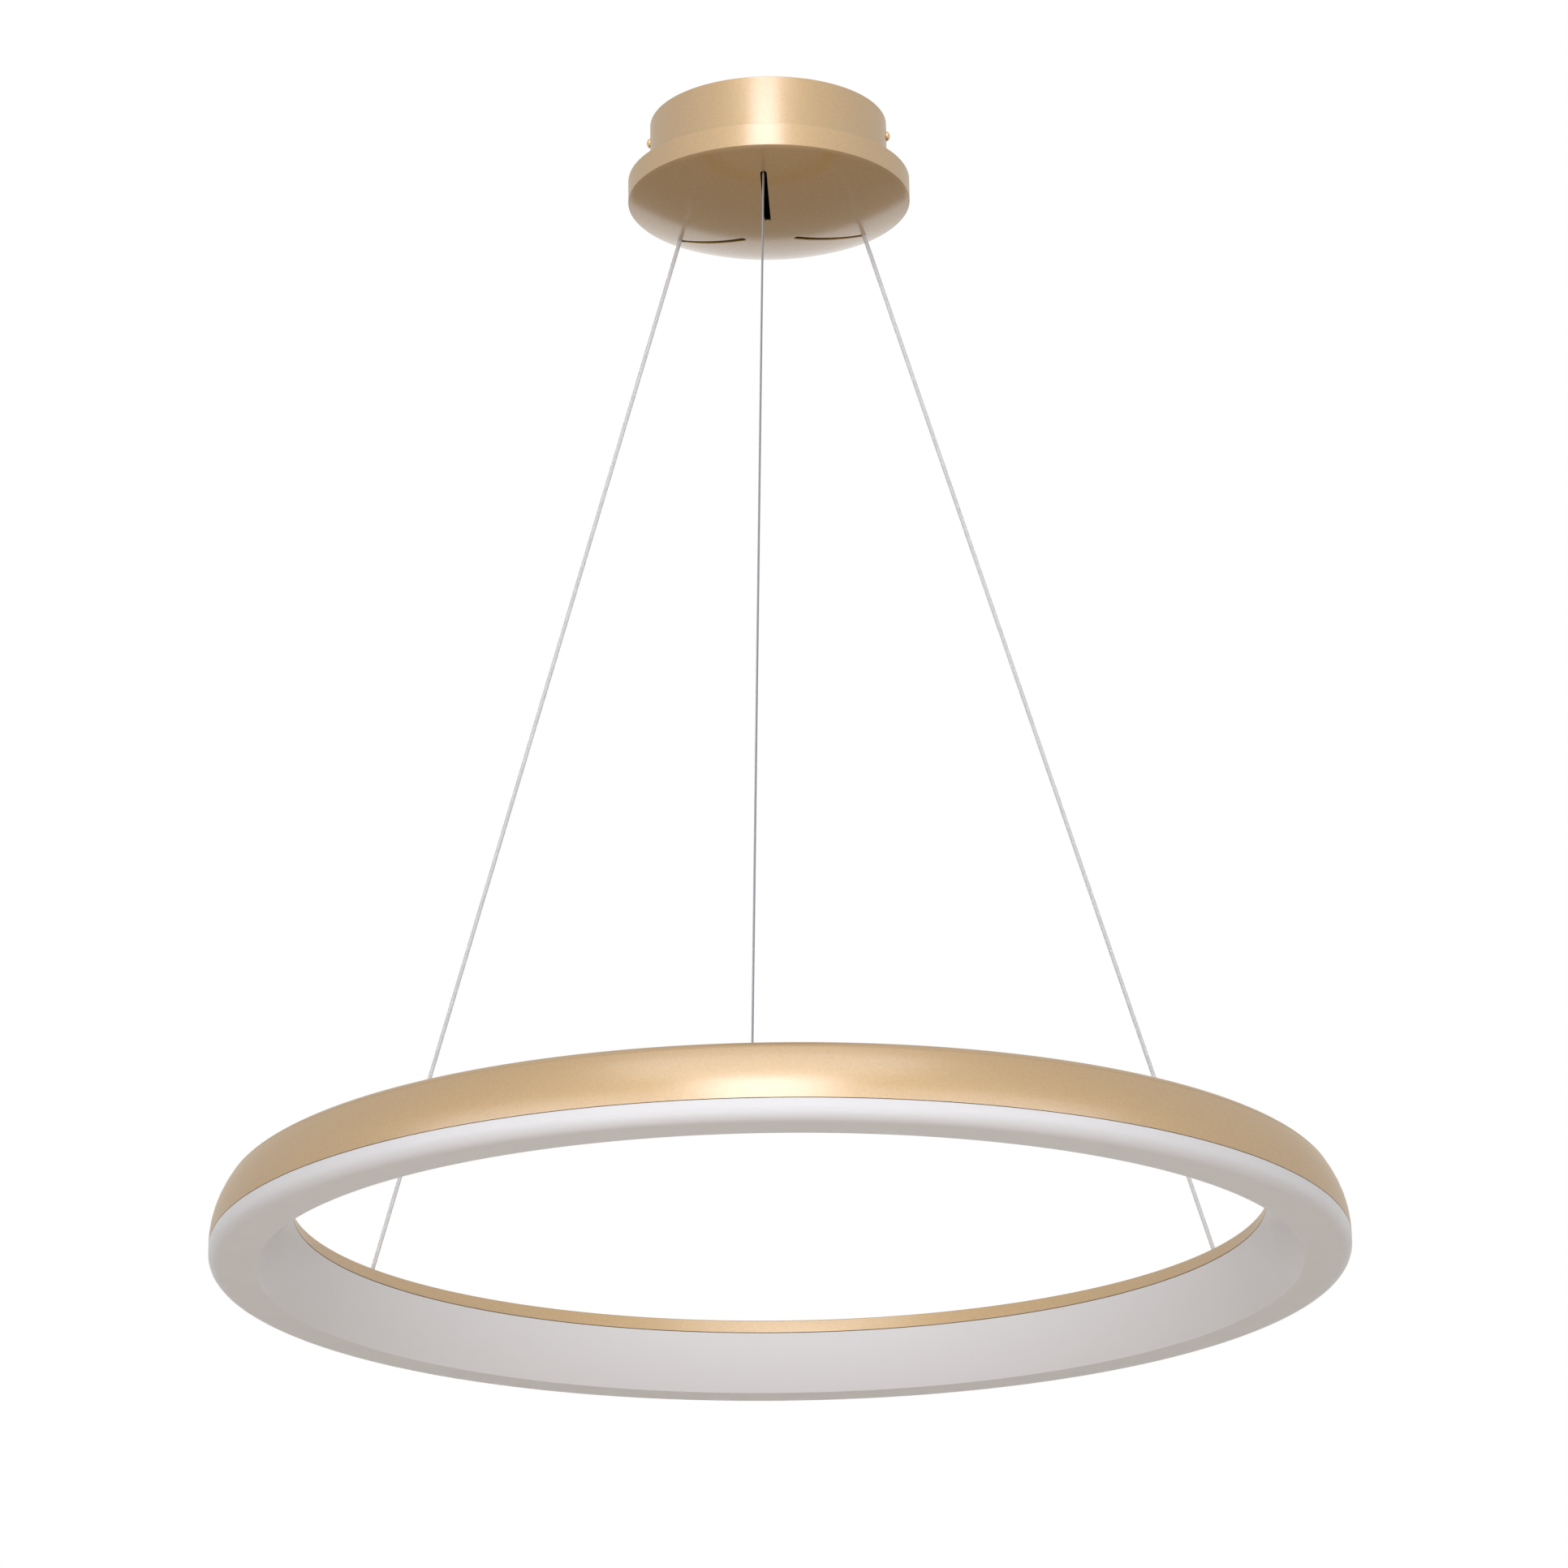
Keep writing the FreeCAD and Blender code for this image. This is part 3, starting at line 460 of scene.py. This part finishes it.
block_milky = new_finish("block_milky", (222, 220, 208), 0.45)
vary_colour(block_milky, noise(block_milky, 0.01), (216, 214, 200), (226, 224, 214))
raise_grain(block_milky, noise(block_milky, 0.0006), mould_grain)
dress("terminal_block", block_milky)

# ---- cables ------------------------------------------------------------------------------
# The near one is a bare steel rope of six strands round a core.  The other two carry the
# current: seven tinned strands under a clear jacket.  All three hang taut from the dome's
# slots to the ring; when the lamp is raised they are drawn up into the canopy.
slot_exit = (0.079166, -0.072148)
ring_end = (0.35589, -0.826481)
cable_steps = 640
outer_strands = 6
strand_sides = 6
strand_crease = 80
side_guide = Vector((0, 1, 0.01))
rope_radius = 0.0008
rope_lay = 0.0105
jacket_radius = 0.0015
jacket_wall = 0.0003
jacket_sides = 20
jacket_crease = 60
wire_lay = 0.016


def place(radius, angle, height):
    """A point at a direction seen from above."""
    turn = math.radians(angle)
    return Vector((radius * math.cos(turn), radius * math.sin(turn), height))


def line_of(route, steps):
    """Points of the smooth line through a cable's route."""
    curve = bpy.data.curves.new("route", "CURVE")
    curve.dimensions = "3D"
    spline = curve.splines.new("NURBS")
    spline.points.add(len(route) - 1)
    for point, spot in zip(spline.points, route):
        point.co = (*spot, 1)
    spline.order_u = 3
    spline.use_endpoint_u = True
    spline.resolution_u = steps
    bare = bpy.data.objects.new("route", curve)
    mesh = bpy.data.meshes.new_from_object(bare)
    points = [vertex.co.copy() for vertex in mesh.vertices]
    bpy.data.meshes.remove(mesh)
    bpy.data.curves.remove(curve)
    return points


def square_to(way):
    """Two directions at right angles to a way and to each other."""
    across = way.cross(side_guide).normalized()
    return across, way.cross(across)


def swept(mesh, points, radius, sides):
    """A closed tube of one radius along points."""
    rings = []
    for index, spot in enumerate(points):
        way = (points[min(index + 1, len(points) - 1)] - points[max(index - 1, 0)]).normalized()
        across, beside = square_to(way)
        rings.append([mesh.verts.new(spot + radius * (
            across * math.cos(2 * math.pi * side / sides)
            + beside * math.sin(2 * math.pi * side / sides))) for side in range(sides)])
    for first, second in zip(rings, rings[1:]):
        for side in range(sides):
            following = (side + 1) % sides
            mesh.faces.new((first[side], first[following], second[following], second[side]))
    mesh.faces.new(rings[0])
    mesh.faces.new(reversed(rings[-1]))


def strands(points, count, radius, circle, lay):
    """Strands twisted round a straight core, one turn in every lay."""
    mesh = bmesh.new()
    swept(mesh, points, radius, strand_sides)
    across, beside = square_to((points[-1] - points[0]).normalized())
    for strand in range(count):
        twisted = []
        for spot in points:
            turn = 2 * math.pi * (strand / count + (spot - points[0]).length / lay)
            twisted.append(spot + circle * (across * math.cos(turn) + beside * math.sin(turn)))
        swept(mesh, twisted, radius, strand_sides)
    bmesh.ops.recalc_face_normals(mesh, faces=mesh.faces)
    smooth(mesh, strand_crease)
    return mesh


rope_steel = new_finish("rope_steel", (150, 151, 153), 0.35, metallic=1.0)
vary_roughness(rope_steel, noise(rope_steel, 0.004), 0.28, 0.45)
tinned = new_finish("tinned_wire", (240, 239, 237), 0.45)
vary_roughness(tinned, noise(tinned, 0.004), 0.32, 0.5)
jacket = new_finish("clear_jacket", (250, 250, 249), 0.08)
set_inputs(surface_of(jacket), {"Transmission Weight": 0.5, "IOR": 1.49})
vary_roughness(jacket, noise(jacket, 0.01), 0.05, 0.14)

for name, angle in cable_directions.items():
    high = place(slot_exit[0], angle, slot_exit[1])
    low = place(ring_end[0], angle, ring_end[1])
    points = line_of([high, (high + low) / 2, low], cable_steps)
    if name == "near":
        rope = strands(points, outer_strands, rope_radius / 3, rope_radius * 2 / 3, rope_lay)
        cable = new_piece("rope_near", rope, rope_steel, "canopy")
    else:
        tube = bmesh.new()
        swept(tube, points[::40] + points[-1:], jacket_radius, jacket_sides)
        bmesh.ops.recalc_face_normals(tube, faces=tube.faces)
        smooth(tube, jacket_crease)
        cable = new_piece("jacket_" + name, tube, jacket, "canopy")
        wire_radius = (jacket_radius - jacket_wall) / 3
        twist = strands(points, outer_strands, wire_radius, 2 * wire_radius, wire_lay)
        wire = new_piece("wires_" + name, twist, tinned, "canopy")
        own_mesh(wire)
    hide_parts("cable_" + name)
    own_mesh(cable)
dress("rope_tail", rope_steel)
dress("rope_end", rope_steel)
dress("conductor_tails", jacket)
dress("conductor_ends", jacket)

# ---- ring channel ------------------------------------------------------------------------
# The ring's metal body: aluminium strip, rolled into a channel with a curved outer shoulder,
# a top that slopes inwards and a short inner lip, then bent round.  It has the canopy's gold
# lacquer under a slightly thinner clear coat.
ring_radius = 0.4
ring_foot = -0.8653
ring_steps = 512
ring_coat = 0.7
shoulder_bow = 0.0663076
shoulder_turn = 0.0116396
bow_corner = (0.4, -0.8443933)
turn_corner = (0.3842016, -0.8218309)
lip_top = (0.344, -0.8293)
lip_foot = (0.3415, -0.8391)
lip_bend = 0.0011
lip_edge = 0.0003
foot_edge = 0.0002
channel_wall = 0.0018
inside_bow = 0.062
inside_bow_drop = 0.0008
inside_turn = 0.009
inside_turn_shift = 0.0009
inside_lip_drop = 0.0015

ring_gold = gold_lacquer("ring_gold", ring_coat)
channel = new_piece("ring_channel_shell", spun(rounded([
    (ring_radius, ring_foot, foot_edge),
    (*bow_corner, shoulder_bow),
    (*turn_corner, shoulder_turn),
    (*lip_top, lip_bend),
    (*lip_foot, lip_edge),
    (lip_foot[0] + channel_wall, lip_foot[1], lip_edge),
    (lip_top[0] + channel_wall, lip_top[1] - inside_lip_drop, lip_edge),
    (turn_corner[0] - inside_turn_shift, turn_corner[1] - channel_wall, inside_turn),
    (ring_radius - channel_wall, bow_corner[1] - inside_bow_drop, inside_bow),
    (ring_radius - channel_wall, ring_foot, foot_edge)]), ring_steps),
    ring_gold, "ring")
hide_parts("ring_channel")

# ---- LED strips --------------------------------------------------------------------------
# Six flexible boards glued under the channel's top, white solder mask on copper, each with a
# row of emitters under yellow phosphor.
board = new_finish("board_white", (235, 236, 232), 0.35)
vary_colour(board, noise(board, 0.008), (228, 229, 225), (238, 239, 236))
dress("led_strips", board)
phosphor = new_finish("phosphor", (232, 206, 92), 0.3)
vary_colour(phosphor, noise(phosphor, 0.001), (226, 198, 80), (238, 214, 110))
dress("led_chips", phosphor)

# ---- light cover -------------------------------------------------------------------------
# Extruded opal acrylic, bent to the ring and snapped into the channel on two thin legs: an
# outer band level with the gold, a rounded corner, a narrow flat bottom, and a tall slanted
# inner wall, very slightly bowed, that meets it in a crease.  Milky right through, and satin.
cover_bottom = -0.88
band_top = -0.8657
crease = 0.3665
crease_edge = 0.0005
wall_top = -0.8395
wall_bow = 0.0015
wall_bow_steps = 8
opal_wall = 0.0022
opal_edge = 0.0002
outer_corner = 0.009
inside_crease_shift = 0.0012
inside_crease_edge = 0.0004
inner_leg = ((0.3436, wall_top), (0.3458, -0.8318), (0.3475, -0.8318), (0.3453, -0.8415))
outer_leg = ((0.3962, -0.869), (0.395, -0.8582), (0.3967, -0.8582), (0.3979, -0.8657))
opal_milk = 0.4
opal_milk_depth = 0.003
opal_milk_tint = (1.0, 0.95, 0.9)


def bowed(start, end, bow):
    """Points of a shallow arc between two points, bulging to the right of the way."""
    way = Vector(end) - Vector(start)
    beside = Vector((way.y, -way.x)).normalized() * bow
    for step in range(1, wall_bow_steps):
        share = step / wall_bow_steps
        spot = Vector(start) + way * share + beside * (4 * share * (1 - share))
        yield (spot.x, spot.y, 0.0)


opal = new_finish("opal", (229, 227, 226), 0.38)
set_inputs(surface_of(opal), {"Subsurface Weight": opal_milk,
                              "Subsurface Radius": opal_milk_tint,
                              "Subsurface Scale": opal_milk_depth})
vary_roughness(opal, noise(opal, 0.02), 0.34, 0.44)
diffuser = new_piece("light_cover", spun(rounded([
    (ring_radius, band_top, opal_edge),
    (ring_radius, cover_bottom, outer_corner),
    (crease, cover_bottom, crease_edge),
    *bowed((crease, cover_bottom), (lip_foot[0], wall_top), -wall_bow),
    (lip_foot[0], wall_top, opal_edge),
    *[(*corner, 0.0) for corner in inner_leg],
    (crease + inside_crease_shift, cover_bottom + opal_wall, inside_crease_edge),
    (ring_radius - opal_wall, cover_bottom + opal_wall, outer_corner - opal_wall),
    *[(*corner, 0.0) for corner in outer_leg]]), ring_steps), opal, "ring")
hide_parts("ring_diffuser")

# ---- studio ------------------------------------------------------------------------------
# A plain floor well below the hanging lamp, which glows a little where it is seen or mirrored
# so that it looks paler than it lights the lamp; an even white room; a soft light in front,
# wide fainter ones beside it and above, and two low ones for the underside.
floor_height = -3.4
floor_size = 20.0
floor_colour = (236, 224, 209)
floor_glow_colour = (1, 0.97, 0.93, 1)
floor_glow_seen = 0.42
floor_glow_mirrored = 0.16
room_light = 0.31
cool_white = (0.95, 0.97, 1.05)
lamp_middle = Vector((0, 0, -0.45))
light_distance = 4.0


def worked_out(tree, operation, first, second):
    """One shader value from two."""
    work = tree.nodes.new("ShaderNodeMath")
    work.operation = operation
    tree.links.new(first, work.inputs[0])
    tree.links.new(second, work.inputs[1])
    return work.outputs["Value"]


def rays_of(tree, *kinds):
    """A shader value of one for light paths of these kinds, and of nothing for others."""
    path = tree.nodes.new("ShaderNodeLightPath")
    found = path.outputs[kinds[0]]
    for kind in kinds[1:]:
        found = worked_out(tree, "MAXIMUM", found, path.outputs[kind])
    return found


def soft_light(name, azimuth, elevation, width, height, brightness):
    """A rectangular soft light that faces the middle of the lamp."""
    light = bpy.data.lights.new(name, "AREA")
    light.shape = "RECTANGLE"
    light.size = width
    light.size_y = height
    light.energy = brightness * width * height * math.pi
    light.color = cool_white
    side = math.radians(azimuth)
    rise = math.radians(elevation)
    away = Vector((math.sin(side) * math.cos(rise), -math.cos(side) * math.cos(rise),
                   math.sin(rise)))
    holder = add_object(name, light)
    holder.location = lamp_middle + away * light_distance
    holder.rotation_mode = "QUATERNION"
    holder.rotation_quaternion = away.to_track_quat("Z", "Y")


floor_mesh = bmesh.new()
bmesh.ops.create_grid(floor_mesh, x_segments=1, y_segments=1, size=floor_size / 2)
floor = add_mesh("floor", floor_mesh)
floor.location.z = floor_height
floor_paint = new_finish("floor_paint", floor_colour, 0.8)
floor_tree = floor_paint.node_tree
floor_surface = surface_of(floor_paint)
seen_glow = ranged(floor_tree, rays_of(floor_tree, "Is Camera Ray"),
                   (0, 1), (0, floor_glow_seen))
mirrored_glow = ranged(floor_tree, rays_of(floor_tree, "Is Glossy Ray", "Is Transmission Ray"),
                       (0, 1), (0, floor_glow_mirrored))
floor_tree.links.new(worked_out(floor_tree, "ADD", seen_glow, mirrored_glow),
                     floor_surface.inputs["Emission Strength"])
set_inputs(floor_surface, {"Emission Color": floor_glow_colour})
from_below = floor_tree.nodes.new("ShaderNodeNewGeometry")
see_through = floor_tree.nodes.new("ShaderNodeBsdfTransparent")
one_sided = floor_tree.nodes.new("ShaderNodeMixShader")
floor_tree.links.new(from_below.outputs["Backfacing"], one_sided.inputs["Fac"])
floor_tree.links.new(floor_surface.outputs["BSDF"], one_sided.inputs[1])
floor_tree.links.new(see_through.outputs["BSDF"], one_sided.inputs[2])
floor_tree.links.new(one_sided.outputs["Shader"],
                     floor_tree.nodes["Material Output"].inputs["Surface"])
floor.data.materials.append(floor_paint)

room = bpy.data.worlds.new("white_room")
bpy.context.scene.world = room
room.use_nodes = True
room_tree = room.node_tree
background = room_tree.nodes["Background"]
seen = rays_of(room_tree, "Is Camera Ray", "Is Glossy Ray", "Is Transmission Ray")
room_tree.links.new(ranged(room_tree, seen, (0, 1), (room_light, 1.0)),
                    background.inputs["Strength"])
set_inputs(background, {"Color": (1, 1, 1, 1)})

soft_light("front_light", azimuth=0, elevation=20, width=1.6, height=1.9, brightness=4.0)
soft_light("left_light", azimuth=-42, elevation=8, width=4.2, height=1.2, brightness=1.5)
soft_light("right_light", azimuth=42, elevation=8, width=4.2, height=1.2, brightness=1.5)
soft_light("upper_light", azimuth=0, elevation=54, width=3.6, height=2.4, brightness=1.0)
soft_light("low_left_light", azimuth=-20, elevation=-28, width=2.2, height=1.6, brightness=2.2)
soft_light("low_right_light", azimuth=20, elevation=-28, width=2.2, height=1.6, brightness=2.2)

# ---- camera ------------------------------------------------------------------------------
# Far off and below, looking up at the lamp through a long lens, as in the photograph.  It is
# turned, tipped and rolled so that the lamp comes where the photograph has it.
camera_distance = 4.3117
camera_height = -1.9772
camera_azimuth = math.radians(2.725 - 0.0839)
camera_side = math.radians(2.725)
camera_pitch = math.radians(18.6987)
camera_roll = math.radians(-0.6442)
film_width = 36.0
focal_length = 145.22
farthest_seen = 100.0

eye = bpy.data.cameras.new("camera")
eye.sensor_width = film_width
eye.lens = focal_length
eye.clip_end = farthest_seen
camera = add_object("camera", eye)
camera.matrix_world = (
    Matrix.Translation((camera_distance * math.sin(camera_side),
                        -camera_distance * math.cos(camera_side), camera_height))
    @ Matrix.Rotation(camera_azimuth, 4, "Z")
    @ Matrix.Rotation(math.radians(90) + camera_pitch, 4, "X")
    @ Matrix.Rotation(camera_roll, 4, "Z"))
bpy.context.scene.camera = camera
bpy.context.scene.view_settings.view_transform = "Standard"
